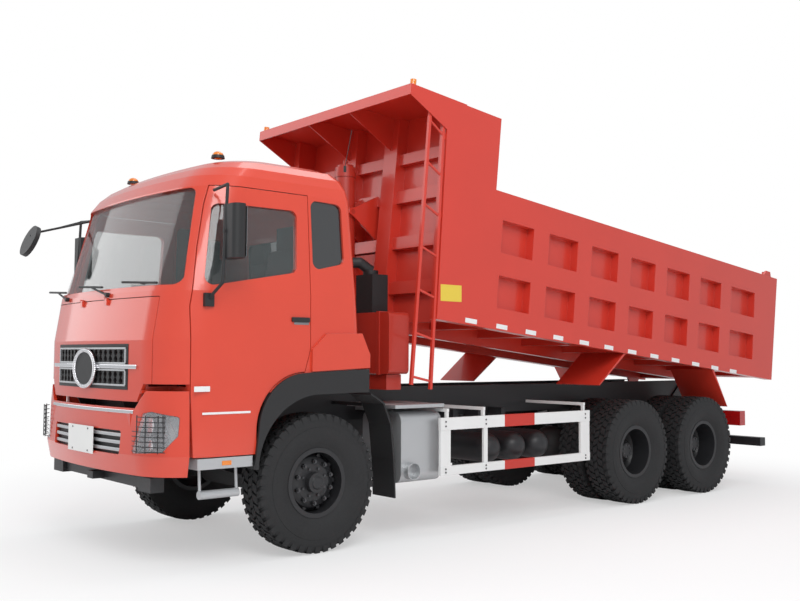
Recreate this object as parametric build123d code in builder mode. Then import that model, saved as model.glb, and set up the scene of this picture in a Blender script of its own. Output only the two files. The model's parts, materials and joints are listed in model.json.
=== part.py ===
"""Six-wheeled dump truck: cab over engine, steel tipping bed, three axles.

Millimetres. The front faces -Y, the truck's left side is +X and up is +Z. The origin is on the
ground, at the middle of the truck's length and width. The bed stands raised by its parked tilt.
"""

from build123d import *
import math
import os

# Running gear
front_axle_y = -2885.0
wheelbase = 4200.0
tandem_spacing = 1330.0
tyre_radius = 562.0
tyre_width = 315.0
bead_radius = 268.0
front_track = 2037.0
rear_track = 1824.0
twin_spacing = 351.0
kingpin_x = 860.0

# Frame
rail_outer_x = 430.0
rail_flange = 80.0
rail_steel = 8.0
rail_top_z = 1290.0
rail_height = 290.0
rail_front = -1250.0
rail_rear = 6230.0

# Cab, as distances behind the front axle where the name ends in _back
cab_half_width = 1220.0
cab_front_back = -1466.0
cab_rear_back = 375.0
cab_floor_z = 1305.0
cab_wall = 50.0
cab_top_z = 3170.0
door_low_z = 840.0
panel_gap = 6.0
tunnel_half_width = 450.0
tunnel_top_z = 1710.0
cab_pivot_back = -1360.0
cab_pivot_z = 1300.0
glass = 6.0

# Bed, measured with the bed down
rest_tilt = 6.0
hinge_back = 6350.0
hinge_z = 1200.0
hinge_pin_radius = 30.0
bed_half_width = 1240.0
bed_skin = 8.0
bed_frame_depth = 92.0
bed_low_z = 1380.0
bed_top_z = 2705.0
bed_rail_low = 210.0
bed_rail_top = 270.0
bed_floor_z = 1490.0
bed_front_back = 1170.0
bed_rear_back = 7060.0
head_top_z = 3405.0
head_panel_rear_back = 1800.0
canopy_front_back = 640.0
bay_first_back = 1800.0
bay_pitch = 683.0
bay_width = 450.0
bay_count = 7
last_bay_width = 550.0

# Hoist
hoist_back = 1120.0
hoist_foot_z = 850.0
hoist_pin_z = 3000.0
hoist_top_z = 3450.0
hoist_radius = 100.0
tube_wall = 10.0
tube_gap = 1.0

seat_gap = 0.3
sides = (("l", 1), ("r", -1))


def behind(distance):
    """Y of a place that many millimetres behind the front axle."""
    return front_axle_y + distance


mid_axle_y = front_axle_y + wheelbase
rear_axle_y = mid_axle_y + tandem_spacing
hinge_y = behind(hinge_back)
cab_pivot_y = behind(cab_pivot_back)
rail_bottom_z = rail_top_z - rail_height
bed_lift = Location((0, hinge_y, hinge_z), (-rest_tilt, 0, 0)) * Location((0, -hinge_y, -hinge_z))


def raised(plane):
    """The plane carried up with the bed to its parked tilt."""
    return Plane(bed_lift * plane.location)


def across(distance):
    """Upright plane across the truck; its normal points forwards."""
    return Plane.XZ.offset(-behind(distance))


def block(x, y, z, mode=Mode.ADD):
    """Box that spans the two values given for each axis."""
    middle = tuple((low + high) / 2 for low, high in (x, y, z))
    with Locations(middle):
        Box(x[1] - x[0], y[1] - y[0], z[1] - z[0], mode=mode)


def rod(start, end, radius, mode=Mode.ADD):
    """Round bar between two points."""
    line = Vector(*end) - Vector(*start)
    with Locations(Plane(origin=start, z_dir=line).location):
        Cylinder(radius, line.length, align=(Align.CENTER, Align.CENTER, Align.MIN), mode=mode)


def arc_band(centre, inner, outer, start, end):
    """Face between two arcs about one centre, with angles from the sketch's x axis."""
    middle = Plane((*centre, 0))
    low = Edge.make_circle(inner, middle, start, end)
    high = Edge.make_circle(outer, middle, start, end)
    make_face([low, Edge.make_line(low @ 1, high @ 1), high, Edge.make_line(high @ 0, low @ 0)])


def arc_radius(half_span, rise):
    """Radius of the arc that rises that much over the half span."""
    return (half_span**2 + rise**2) / (2 * rise)


os.makedirs("parts", exist_ok=True)

# Frame with its cross members, hinge brackets and hoist cradle
cross_member_backs = (-1180.0, 900.0, 1520.0, 2700.0, 4865.0, 6120.0)
cradle_cheek_x = 120.0
cradle_cheek = 20.0
hanger_backs = (-760.0, 760.0)
hanger_low_z = 860.0
spring_x = 430.0
trunnion_y = (mid_axle_y + rear_axle_y) / 2
trunnion_z = 760.0
trunnion_radius = 60.0
with BuildPart() as chassis_frame:
    with BuildSketch(across(rail_front)):
        with Locations((rail_outer_x - rail_flange / 2, rail_top_z - rail_height / 2)):
            Rectangle(rail_flange, rail_height)
        with Locations((rail_outer_x - rail_flange / 2 - rail_steel, rail_top_z - rail_height / 2)):
            Rectangle(rail_flange, rail_height - 2 * rail_steel, mode=Mode.SUBTRACT)
    extrude(amount=-(rail_rear - rail_front))
    mirror(about=Plane.YZ)
    inner_x = rail_outer_x - rail_steel
    for back in cross_member_backs:
        block((-inner_x, inner_x), (behind(back - 30), behind(back + 30)),
              (rail_bottom_z + 40, rail_top_z - 50))
    for sign in (1, -1):
        # Cheeks of the hoist cradle
        with BuildSketch(Plane.YZ.offset(sign * (cradle_cheek_x + cradle_cheek / 2))):
            with Locations((behind(1210), rail_top_z - 290)):
                Rectangle(620, 400)
        extrude(amount=cradle_cheek / 2, both=True)
        rod((sign * (cradle_cheek_x + 1), behind(hoist_back), hoist_foot_z),
            (sign * 75, behind(hoist_back), hoist_foot_z), 30)
        # Spring hangers under the rail
        for back in hanger_backs:
            x = sign * spring_x
            block((x - 30, x + 30), (behind(back - 40), behind(back + 40)), (hanger_low_z, rail_bottom_z))
        # Tilt bracket for the cab
        with BuildSketch(Plane.YZ.offset(sign * (rail_outer_x + 10))):
            with BuildLine():
                Polyline((behind(-1000), rail_bottom_z + 40), (behind(-1000), rail_top_z),
                         (cab_pivot_y, cab_pivot_z + 45), (cab_pivot_y - 45, cab_pivot_z),
                         (behind(-1260), rail_bottom_z + 40), close=True)
            make_face()
        extrude(amount=10, both=True)
        rod((sign * rail_outer_x, cab_pivot_y, cab_pivot_z),
            (sign * (rail_outer_x + 56), cab_pivot_y, cab_pivot_z), 18)
        # Hinge bracket for the bed
        with BuildSketch(Plane.YZ.offset(sign * (rail_outer_x - 18))):
            with BuildLine():
                Polyline((behind(5900), rail_bottom_z + 20), (behind(5900), rail_top_z - 20),
                         (hinge_y + 20, hinge_z + 60), (hinge_y + 60, hinge_z),
                         (hinge_y + 20, hinge_z - 60), (behind(6150), rail_bottom_z + 20), close=True)
            make_face()
        extrude(amount=10, both=True)
        rod((sign * (rail_outer_x - 28), hinge_y, hinge_z),
            (sign * (rail_outer_x - 80), hinge_y, hinge_z), hinge_pin_radius)
        # Trunnion bracket of the rear springs
        with BuildSketch(Plane.YZ.offset(sign * (rail_outer_x + 12))):
            with BuildLine():
                Polyline((behind(4600), rail_bottom_z + 60), (behind(5130), rail_bottom_z + 60),
                         (behind(4965), 700), (behind(4765), 700), close=True)
            make_face()
        extrude(amount=12, both=True)
    rod((-620, trunnion_y, trunnion_z), (620, trunnion_y, trunnion_z), trunnion_radius)
chassis_frame.part.label = "chassis_frame"
export_step(chassis_frame.part, "parts/chassis_frame.step")

# Front axle beam, with a kingpin eye at each end
beam_z = 470.0
beam_top_z = beam_z + 60
eye_radius = 45.0
with BuildPart() as front_axle:
    with BuildSketch(across(0)):
        with BuildLine():
            Polyline((-kingpin_x, 610), (-600, beam_top_z), (600, beam_top_z), (kingpin_x, 610),
                     (kingpin_x, 530), (620, beam_z - 60), (-620, beam_z - 60), (-kingpin_x, 530),
                     close=True)
        make_face()
    extrude(amount=42, both=True)
    for sign in (1, -1):
        rod((sign * kingpin_x, front_axle_y, 490), (sign * kingpin_x, front_axle_y, 640), eye_radius)
        rod((sign * kingpin_x, front_axle_y, 400), (sign * kingpin_x, front_axle_y, 730), 20.5,
            mode=Mode.SUBTRACT)
front_axle.part.label = "front_axle"
export_step(front_axle.part, "parts/front_axle.step")

# Driven axles: banjo housing, beam tubes and spring pads
spindle_radius = 40.0
rear_spindle_x = rear_track / 2 + 150
axle_pad_x = 520.0
axle_pad_z = tyre_radius + 110.0
with BuildPart() as rear_axles:
    for axle_y in (mid_axle_y, rear_axle_y):
        rod((-690, axle_y, tyre_radius), (690, axle_y, tyre_radius), 65)
        rod((-rear_spindle_x, axle_y, tyre_radius), (rear_spindle_x, axle_y, tyre_radius), spindle_radius)
        with Locations((0, axle_y, tyre_radius)):
            Sphere(210)
        rod((0, axle_y, tyre_radius), (0, axle_y - 330, tyre_radius + 60), 90)
        for sign in (1, -1):
            block((sign * axle_pad_x - 60, sign * axle_pad_x + 60), (axle_y - 90, axle_y + 90),
                  (tyre_radius, axle_pad_z))
rear_axles.part.label = "rear_axles"
export_step(rear_axles.part, "parts/rear_axles.step")

# Leaf springs: curved packs over the front axle, and rocking packs on the rear trunnion
leaf_thickness = 22.0
front_leaf_reaches = (760.0, 620.0, 460.0, 300.0)
rear_leaf_reaches = (700.0, 560.0, 400.0, 250.0)
front_pack_top_z = beam_top_z + seat_gap + len(front_leaf_reaches) * leaf_thickness
front_leaf_radius = arc_radius(front_leaf_reaches[0], hanger_low_z - seat_gap - front_pack_top_z)
rear_pack_low_z = trunnion_z + trunnion_radius + seat_gap
rear_leaf_radius = arc_radius(rear_leaf_reaches[0], rear_pack_low_z - axle_pad_z - seat_gap)
with BuildPart() as leaf_springs:
    for sign in (1, -1):
        for number, reach in enumerate(front_leaf_reaches):
            radius = front_leaf_radius + number * leaf_thickness
            half_turn = math.degrees(math.asin(reach / radius))
            with BuildSketch(Plane.YZ.offset(sign * spring_x)):
                arc_band((front_axle_y, front_pack_top_z + front_leaf_radius), radius,
                         radius + leaf_thickness, 270 - half_turn, 270 + half_turn)
            extrude(amount=38, both=True)
        for number, reach in enumerate(rear_leaf_reaches):
            radius = rear_leaf_radius + number * leaf_thickness
            half_turn = math.degrees(math.asin(reach / radius))
            with BuildSketch(Plane.YZ.offset(sign * axle_pad_x)):
                arc_band((trunnion_y, rear_pack_low_z - rear_leaf_radius), radius,
                         radius + leaf_thickness, 90 - half_turn, 90 + half_turn)
            extrude(amount=45, both=True)
leaf_springs.part.label = "leaf_springs"
export_step(leaf_springs.part, "parts/leaf_springs.step")

# Engine with gearbox behind it, and radiator in front
with BuildPart() as engine:
    with BuildSketch(Plane.YZ):
        with BuildLine():
            Polyline((behind(-700), 800), (behind(-700), 1620), (behind(450), 1620),
                     (behind(520), 1240), (behind(860), 1180), (behind(860), 880), (behind(500), 800),
                     close=True)
        make_face()
    extrude(amount=320, both=True)
    # Feet in the channels of the rails
    for sign in (1, -1):
        for back in (-300, 300):
            block(sorted((sign * 310, sign * (rail_outer_x - rail_steel - seat_gap))),
                  (behind(back - 45), behind(back + 45)), (1090, 1170))
engine.part.label = "engine"
export_step(engine.part, "parts/engine.step")

with BuildPart() as radiator:
    block((-340, 340), (behind(-1090), behind(-1000)), (860, 1630))
    for sign in (1, -1):
        block(sorted((sign * 330, sign * (rail_outer_x - rail_steel - seat_gap))),
              (behind(-1075), behind(-1015)), (1090, 1150))
radiator.part.label = "radiator"
export_step(radiator.part, "parts/radiator.step")

# Steering knuckles: a fork round the beam's eye, and the wheel spindle
steer_y = front_axle_y
wheel_x = front_track / 2
hub_face = 60.0
for name, sign in sides:
    with BuildPart() as knuckle:
        x = sign * kingpin_x
        for low, high in ((430, 484), (646, 700)):
            block(sorted((x - sign * 50, x + sign * 92)), (steer_y - 50, steer_y + 50), (low, high))
        block(sorted((x + sign * 56, x + sign * 92)), (steer_y - 50, steer_y + 50), (430, 700))
        rod((x, steer_y, 430), (x, steer_y, 700), 20)
        rod((x + sign * 90, steer_y, tyre_radius), (sign * (wheel_x + hub_face), steer_y, tyre_radius),
            spindle_radius)
    knuckle.part.label = f"knuckle_{name}"
    export_step(knuckle.part, f"parts/knuckle_{name}.step")

# Wheels: (name, side, axle y, tyre middles from the truck's middle plane)
rear_inner = rear_track / 2 - twin_spacing / 2
rear_outer = rear_track / 2 + twin_spacing / 2
wheels = []
for name, sign in sides:
    wheels.append((f"f{name}", sign, front_axle_y, (wheel_x,)))
    wheels.append((f"m{name}", sign, mid_axle_y, (rear_inner, rear_outer)))
    wheels.append((f"r{name}", sign, rear_axle_y, (rear_inner, rear_outer)))

half = tyre_width / 2
bead_half = 109.7
# Tyre section: across the tyre, out from the axle
tyre_section = ((bead_half, bead_radius), (bead_half, 284), (half, 385), (half, 440), (150, 505),
                (138, 545), (122, tyre_radius), (-122, tyre_radius), (-138, 545), (-150, 505),
                (-half, 440), (-half, 385), (-bead_half, 284), (-bead_half, bead_radius))


def hub_plane(sign, x, y):
    """Plane through a wheel's axle: its x runs outwards along the axle and its y runs up."""
    return Plane((sign * x, y, tyre_radius), x_dir=(sign, 0, 0), z_dir=(0, -sign, 0))


for name, sign, axle_y, middles in wheels:
    with BuildPart() as tyre:
        for middle in middles:
            hub = hub_plane(sign, middle, axle_y)
            with BuildSketch(hub):
                Polygon(*tyre_section, align=None)
            revolve(axis=Axis(hub.origin, (1, 0, 0)))
    tyre.part.label = f"tyre_{name}"
    export_step(tyre.part, f"parts/tyre_{name}.step")

# Rims: a barrel for each tyre, with a bulged disc in front and a dished pair with its drum behind
rim_outer = bead_radius - seat_gap
rim_inner = 245.0
flange_radius = 282.0
hub_bore = spindle_radius + 0.05
barrel_section = ((118, rim_inner), (118, flange_radius), (110, flange_radius), (110, rim_outer),
                  (-110, rim_outer), (-110, flange_radius), (-118, flange_radius), (-118, rim_inner))
front_disc_section = ((-20, rim_inner + 3), (40, 205), (62, 150), (62, hub_bore), (0, hub_bore), (0, 140),
                      (10, 190), (-45, rim_inner + 3))
twin_disc_section = ((66, rim_inner + 3), (84, rim_inner + 3), (14, 196), (14, 118), (150, 104),
                     (178, 80), (178, 0), (160, 0), (160, hub_bore), (-190, hub_bore), (-190, 70),
                     (-45, 80), (-45, 190), (-215, 190), (-215, 208), (-30, 208),
                     (-84, rim_inner + 3), (-66, rim_inner + 3), (0, 202))
for name, sign, axle_y, middles in wheels:
    axle = Axis((0, axle_y, tyre_radius), (1, 0, 0))
    with BuildPart() as rim:
        for middle in middles:
            with BuildSketch(hub_plane(sign, middle, axle_y)):
                Polygon(*barrel_section, align=None)
            revolve(axis=axle)
        twin = len(middles) == 2
        with BuildSketch(hub_plane(sign, sum(middles) / len(middles), axle_y)):
            Polygon(*(twin_disc_section if twin else front_disc_section), align=None)
        revolve(axis=axle)
    rim.part.label = f"rim_{name}"
    export_step(rim.part, f"parts/rim_{name}.step")

# Cab: sections of its outside from the sills to the crown of the roof
cab_sections = (
    # z, front, rear, half width, front corner radius
    (door_low_z, cab_front_back, cab_rear_back, cab_half_width, 430.0),
    (1700.0, cab_front_back, cab_rear_back, cab_half_width, 430.0),
    (2070.0, -1408.0, 350.0, cab_half_width - 2, 425.0),
    (2880.0, -1168.0, 303.0, 1166.0, 400.0),
    (2975.0, -1095.0, 285.0, 1145.0, 390.0),
    (3050.0, -1005.0, 250.0, 1115.0, 380.0),
    (3110.0, -900.0, 190.0, 1060.0, 360.0),
    (3150.0, -770.0, 90.0, 960.0, 340.0),
    (cab_top_z, -600.0, -60.0, 800.0, 300.0),
)
front_bow = 0.08
rear_corner = 70.0


def cab_form(inset, low_z=door_low_z):
    """Solid of the cab's outside, moved inwards by the inset."""
    with BuildPart() as form:
        for z, front, rear, half_width, corner in cab_sections:
            lean = max(0.0, (z - cab_sections[1][0]) / (cab_top_z - cab_sections[1][0]))
            bow = front_bow * (half_width / 1000) ** 2 * 1000
            with BuildSketch(Plane.XY.offset(max(z, low_z) - inset * lean)):
                side = half_width - inset
                near = behind(front) + inset
                far = behind(rear) - inset
                with BuildLine():
                    ThreePointArc((-side, near + bow), (0, near), (side, near + bow))
                    Polyline((side, near + bow), (side, far), (-side, far), (-side, near + bow))
                make_face()
                fillet(vertices().group_by(Axis.Y)[0], corner - inset)
                fillet(vertices().group_by(Axis.Y)[-1], rear_corner - inset)
        loft(ruled=True)
    return form.part


outer_form = cab_form(0)
inner_form = cab_form(cab_wall, cab_floor_z + cab_wall)


door_arch_x = -194.0
door_arch_z = 1020.0
door_arch_radius = 440.0
door_window = ((-1085, 2100), (-985, 2740), (-255, 2745), (-270, 2250))
quarter_window = ((-120, 2850), (190, 2840), (205, 2350), (-112, 2275))
windscreen_outline = ((-1100, 2112), (1100, 2112), (990, 2868), (-990, 2868))
rear_window = ((-450, 2150), (450, 2150), (450, 2640), (-450, 2640))
lid_half_width = 960.0
lid_low_z = 1240.0
lid_top_z = 2022.0
lid_step_x = 800.0
lid_step_z = 1375.0
lid_thickness = 25.0
lid_pivot_y = behind(-1424.0)
lid_pivot_z = 2028.0
lid_hinges = (-240.0, 240.0)
side_cut_x = 900.0


def door_prism(sign, grow=0.0):
    """Solid through one side of the cab inside the door's seam, grown by the gap round the door."""
    with BuildSketch(Plane.YZ.offset(sign * side_cut_x)) as outline:
        with BuildLine():
            Polyline((behind(door_arch_x - door_arch_radius), door_arch_z),
                     (behind(door_arch_x - door_arch_radius), door_low_z),
                     (behind(-1150), door_low_z), (behind(-1172), 1300), (behind(-1175), 1950),
                     (behind(-1100), 2400), (behind(-1030), 2730), (behind(-985), 2880),
                     (behind(-150), 2880), (behind(-142), 1640),
                     (behind(door_arch_x), door_arch_z + door_arch_radius))
            ThreePointArc((behind(door_arch_x), door_arch_z + door_arch_radius),
                          (behind(door_arch_x - door_arch_radius * math.cos(math.pi / 4)),
                           door_arch_z + door_arch_radius * math.sin(math.pi / 4)),
                          (behind(door_arch_x - door_arch_radius), door_arch_z))
        make_face()
        if grow:
            offset(amount=grow)
    return extrude(outline.sketch, amount=sign * 500, mode=Mode.PRIVATE)


def window_prism(plane, corners, depth, shrink=0.0, radius=60.0):
    """Solid from a plane through a wall, with a window's rounded outline."""
    with BuildSketch(plane) as window:
        Polygon(*corners, align=None)
        fillet(vertices(), radius)
        if shrink:
            offset(amount=-shrink)
    return extrude(window.sketch, amount=depth, mode=Mode.PRIVATE)


def backs(corners):
    """Corners with distances behind the front axle turned into places."""
    return tuple((behind(back), z) for back, z in corners)


def side_window_prism(sign, corners, shrink=0.0):
    """Solid through one side of the cab with a side window's outline."""
    return window_prism(Plane.YZ.offset(sign * side_cut_x), backs(corners), sign * 500, shrink)


windscreen_prism = window_prism(across(-750), windscreen_outline, 900)
rear_window_prism = window_prism(across(450), rear_window, 250)
lid_outline = ((-lid_half_width, lid_step_z), (-lid_step_x - 80, lid_step_z), (-lid_step_x, lid_low_z),
               (lid_step_x, lid_low_z), (lid_step_x + 80, lid_step_z), (lid_half_width, lid_step_z),
               (lid_half_width, lid_top_z), (-lid_half_width, lid_top_z))
lid_prism = window_prism(across(-1250), lid_outline, 300, radius=8)
lid_room = window_prism(across(-1250), lid_outline, 300, -panel_gap, 8)
lid_recess = (outer_form - cab_form(lid_thickness + panel_gap)) & lid_room

with BuildPart() as cab_shell:
    add(outer_form)
    add(inner_form, mode=Mode.SUBTRACT)
    block((-1300, 1300), (behind(-1500), behind(500)), (door_low_z - 1, cab_floor_z), mode=Mode.SUBTRACT)
    # Engine tunnel, open below and behind
    block((-tunnel_half_width, tunnel_half_width), (behind(-1190), behind(cab_rear_back - 30)),
          (cab_floor_z, tunnel_top_z))
    block((30 - tunnel_half_width, tunnel_half_width - 30), (behind(-1150), behind(cab_rear_back + 10)),
          (cab_floor_z, tunnel_top_z - 30), mode=Mode.SUBTRACT)
    for sign in (1, -1):
        add(door_prism(sign, panel_gap), mode=Mode.SUBTRACT)
        add(side_window_prism(sign, quarter_window), mode=Mode.SUBTRACT)
        # Room over the bumper's corner
        block(sorted((sign * 860, sign * 1300)), (behind(-1500), behind(-1180)), (1300, lid_step_z),
              mode=Mode.SUBTRACT)
        # Wing over the wheel arch
        with BuildSketch(Plane.YZ.offset(sign * (cab_half_width - 5))):
            with BuildLine():
                Polyline((behind(-132), 1640), (behind(10), 1768), (behind(372), 1776), (behind(458), 1600),
                         (behind(458), 1490), (behind(-132), 1462), close=True)
            make_face()
        extrude(amount=sign * 25)
        # Tilt lug under the floor
        with BuildSketch(Plane.YZ.offset(sign * (rail_outer_x + 28))):
            with BuildLine():
                Polyline((behind(-1400), cab_floor_z + 10), (behind(-1240), cab_floor_z + 10),
                         (cab_pivot_y + 40, cab_pivot_z - 30), (cab_pivot_y - 30, cab_pivot_z - 40),
                         close=True)
            make_face()
        extrude(amount=sign * 22)
        rod((sign * (rail_outer_x - 90), cab_pivot_y, cab_pivot_z),
            (sign * (rail_outer_x + 100), cab_pivot_y, cab_pivot_z), 18.05, mode=Mode.SUBTRACT)
        block(sorted((sign * (rail_outer_x - 6), sign * (rail_outer_x + 24))),
              (behind(-1420), behind(-950)), (cab_floor_z - 1, cab_pivot_z + 55), mode=Mode.SUBTRACT)
    add(windscreen_prism, mode=Mode.SUBTRACT)
    add(rear_window_prism, mode=Mode.SUBTRACT)
    add(lid_recess, mode=Mode.SUBTRACT)
    # Hinge pins of the front lid on their brackets
    for x in lid_hinges:
        block((x - 34, x - 20), (lid_pivot_y - 9, behind(-1370)), (lid_top_z + 1.5, lid_top_z + 22))
        rod((x - 21, lid_pivot_y, lid_pivot_z), (x + 20, lid_pivot_y, lid_pivot_z), 5)
cab_shell.part.label = "cab_shell"
export_step(cab_shell.part, "parts/cab_shell.step")

# Doors: the whole thickness of the cab's side inside the seam, with the window cut out
door_skin = outer_form - cab_form(cab_wall)
pane_skin = cab_form(20) - cab_form(20 + glass)
for name, sign in sides:
    with BuildPart() as door:
        add(door_skin & door_prism(sign))
        add(side_window_prism(sign, door_window), mode=Mode.SUBTRACT)
    door.part.label = f"door_{name}"
    export_step(door.part, f"parts/door_{name}.step")
    with BuildPart() as door_glass:
        add(pane_skin & side_window_prism(sign, door_window, seat_gap))
    door_glass.part.label = f"door_glass_{name}"
    export_step(door_glass.part, f"parts/door_glass_{name}.step")

with BuildPart() as windscreen:
    add(pane_skin & window_prism(across(-750), windscreen_outline, 900, seat_gap))
windscreen.part.label = "windscreen"
export_step(windscreen.part, "parts/windscreen.step")

with BuildPart() as cab_windows:
    for sign in (1, -1):
        add(pane_skin & side_window_prism(sign, quarter_window, seat_gap))
    add(pane_skin & window_prism(across(450), rear_window, 250, seat_gap))
cab_windows.part.label = "cab_windows"
export_step(cab_windows.part, "parts/cab_windows.step")

# Front lid below the windscreen, with the grille's opening
grille_half_width = 675.0
grille_low_z = 1326.0
grille_top_z = 1672.0
with BuildPart() as front_lid:
    add((outer_form - cab_form(lid_thickness)) & lid_prism)
    block((-grille_half_width, grille_half_width), (behind(-1500), behind(-1330)),
          (grille_low_z, grille_top_z), mode=Mode.SUBTRACT)
    for x in lid_hinges:
        block((x - 18, x + 20), (lid_pivot_y - 9, behind(-1398)), (lid_top_z - 40, lid_top_z + 2))
        rod((x - 18, lid_pivot_y, lid_pivot_z), (x + 20, lid_pivot_y, lid_pivot_z), 9)
        rod((x - 40, lid_pivot_y, lid_pivot_z), (x + 24, lid_pivot_y, lid_pivot_z), 5.05, mode=Mode.SUBTRACT)
front_lid.part.label = "front_lid"
export_step(front_lid.part, "parts/front_lid.step")

# Grille in the lid: surround, two bands of openings and the bar between them
grille_skin = cab_form(-3) - cab_form(lid_thickness)
with BuildPart() as grille:
    add(grille_skin & window_prism(across(-1250), (
        (-grille_half_width, grille_low_z), (grille_half_width, grille_low_z),
        (grille_half_width, grille_top_z), (-grille_half_width, grille_top_z)), 300, seat_gap, 4))
    for low, high in ((grille_low_z + 40, grille_low_z + 140), (grille_top_z - 140, grille_top_z - 40)):
        with BuildSketch(across(-1300)):
            with Locations((0, (low + high) / 2)):
                with GridLocations(82, 50, 15, 2):
                    RegularPolygon(28, 6)
        extrude(amount=300, mode=Mode.SUBTRACT)
grille.part.label = "grille"
export_step(grille.part, "parts/grille.step")

# Bumper: a shell that wraps round to the door, with openings for the lamps and the air
bumper_sections = (
    # z, front, half width, corner radius
    (700.0, -1478.0, 1205.0, 420.0),
    (850.0, -1506.0, 1225.0, 430.0),
    (1190.0, -1480.0, 1225.0, 430.0),
    (1325.0, -1470.0, 1222.0, 430.0),
)
bumper_rear_back = -1182.0
bumper_wall = 30.0


def bumper_form(inset):
    """Solid of the bumper's outside, moved inwards by the inset."""
    with BuildPart() as form:
        for z, front, half_width, corner in bumper_sections:
            with BuildSketch(Plane.XY.offset(z)):
                side = half_width - inset
                near = behind(front) + inset
                bow = front_bow * (half_width / 1000) ** 2 * 1000
                with BuildLine():
                    ThreePointArc((-side, near + bow), (0, near), (side, near + bow))
                    Polyline((side, near + bow), (side, behind(-600)), (-side, behind(-600)),
                             (-side, near + bow))
                make_face()
                fillet(vertices().group_by(Axis.Y)[0], corner - inset)
        loft(ruled=True)
    return form.part


bumper_outer = bumper_form(0)
bumper_opening = ((-640, 842), (640, 842), (640, 1020), (-640, 1020))
lamp_outline = ((800, 862), (1080, 880), (1150, 1000), (1150, 1140), (985, 1175), (900, 1160), (860, 1040))
with BuildPart() as front_bumper:
    add(bumper_outer)
    add(bumper_form(bumper_wall), mode=Mode.SUBTRACT)
    block((-1300, 1300), (behind(bumper_rear_back), behind(0)), (690, 1400), mode=Mode.SUBTRACT)
    # Lower middle of the top edge, under the lid
    with BuildSketch(across(-1000)):
        with BuildLine():
            Polyline((-930, 1340), (-800, 1192), (800, 1192), (930, 1340), close=True)
        make_face()
    extrude(amount=600, mode=Mode.SUBTRACT)
    add(window_prism(across(-1300), bumper_opening, 300, radius=20), mode=Mode.SUBTRACT)
    for sign in (1, -1):
        corners = tuple((sign * x, z) for x, z in lamp_outline)
        add(window_prism(across(-1100), corners, 500, radius=20), mode=Mode.SUBTRACT)
        # Arms back to the rails
        block(sorted((sign * 352, sign * 428)), (behind(-1470), behind(rail_front) - seat_gap),
              (rail_bottom_z + 30, 1165))
    block((-760, 760), (behind(-1445), behind(-1385)), (1040, 1155))
front_bumper.part.label = "front_bumper"
export_step(front_bumper.part, "parts/front_bumper.step")

# Front underrun bar below the bumper, with its square ends and the jaw for a towing pin
tow_pin_radius = 22.0
with BuildPart() as front_underrun:
    block((-760, 760), (behind(-1330), behind(-1270)), (590, 670))
    for sign in (1, -1):
        block(sorted((sign * 735, sign * 940)), (behind(-1360), behind(-1250)), (575, 685))
        block(sorted((sign * 352, sign * 428)), (behind(-1330), behind(-1240)),
              (600, rail_bottom_z - seat_gap))
    block((-55, 55), (behind(-1425), behind(-1325)), (600, 660))
    rod((0, behind(-1375), 590), (0, behind(-1375), 670), tow_pin_radius, mode=Mode.SUBTRACT)
front_underrun.part.label = "front_underrun"
export_step(front_underrun.part, "parts/front_underrun.step")

lamp_skin = bumper_form(6) - bumper_form(70)
with BuildPart() as headlamps:
    for sign in (1, -1):
        corners = tuple((sign * x, z) for x, z in lamp_outline)
        add((lamp_skin & window_prism(across(-1200), corners, 500, seat_gap, 20)))
headlamps.part.label = "headlamps"
export_step(headlamps.part, "parts/headlamps.step")

# Black flares over the front wheels
arch_inner = 580.0
flare_low_z = 723.0
with BuildPart() as wheel_arches:
    for sign in (1, -1):
        with BuildSketch(Plane.YZ.offset(sign * (cab_half_width + seat_gap))):
            with BuildLine():
                Polyline((behind(-631), 950), (behind(-655), 760), (behind(-655), flare_low_z),
                         (behind(-624), flare_low_z))
                ThreePointArc((behind(-624), flare_low_z), (behind(-460), 1110), (behind(-50), 1280))
                Polyline((behind(-50), 1280), (behind(446), 1289), (behind(446), 1481),
                         (behind(-194), 1452))
                ThreePointArc((behind(-194), 1452), (behind(-500), 1318), (behind(-622), 1020))
                Line((behind(-622), 1020), (behind(-631), 950))
            make_face()
        extrude(amount=sign * 24)
        with BuildSketch(Plane.YZ.offset(sign * 870)):
            with BuildLine():
                Polyline((behind(-633), flare_low_z), (behind(-624), flare_low_z))
                ThreePointArc((behind(-624), flare_low_z), (behind(-460), 1110), (behind(-50), 1280))
                Polyline((behind(-50), 1280), (behind(446), 1289), (behind(446), 1301), (behind(-50), 1292))
                ThreePointArc((behind(-50), 1292), (behind(-469), 1118), (behind(-633), flare_low_z))
            make_face()
        extrude(amount=sign * (cab_half_width - 870 + 20))
wheel_arches.part.label = "wheel_arches"
export_step(wheel_arches.part, "parts/wheel_arches.step")

# Cab interior: two seats, dashboard with its column, and the steering wheel
cab_deck_z = cab_floor_z + cab_wall
seat_x = 700.0
with BuildPart() as seats:
    for sign in (1, -1):
        with BuildSketch(Plane.YZ.offset(sign * seat_x)):
            with BuildLine():
                Polyline((behind(-640), cab_deck_z + seat_gap), (behind(-620), 1640), (behind(-680), 1700),
                         (behind(-660), 1800), (behind(-170), 1780), (behind(-60), 2480),
                         (behind(0), 2500), (behind(50), 2450), (behind(-40), 1700),
                         (behind(-120), 1620), (behind(-140), cab_deck_z + seat_gap), close=True)
            make_face()
        extrude(amount=230, both=True)
        block((sign * seat_x - 130, sign * seat_x + 130), (behind(-50), behind(50)), (2470, 2680))
seats.part.label = "seats"
export_step(seats.part, "parts/seats.step")

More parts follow.
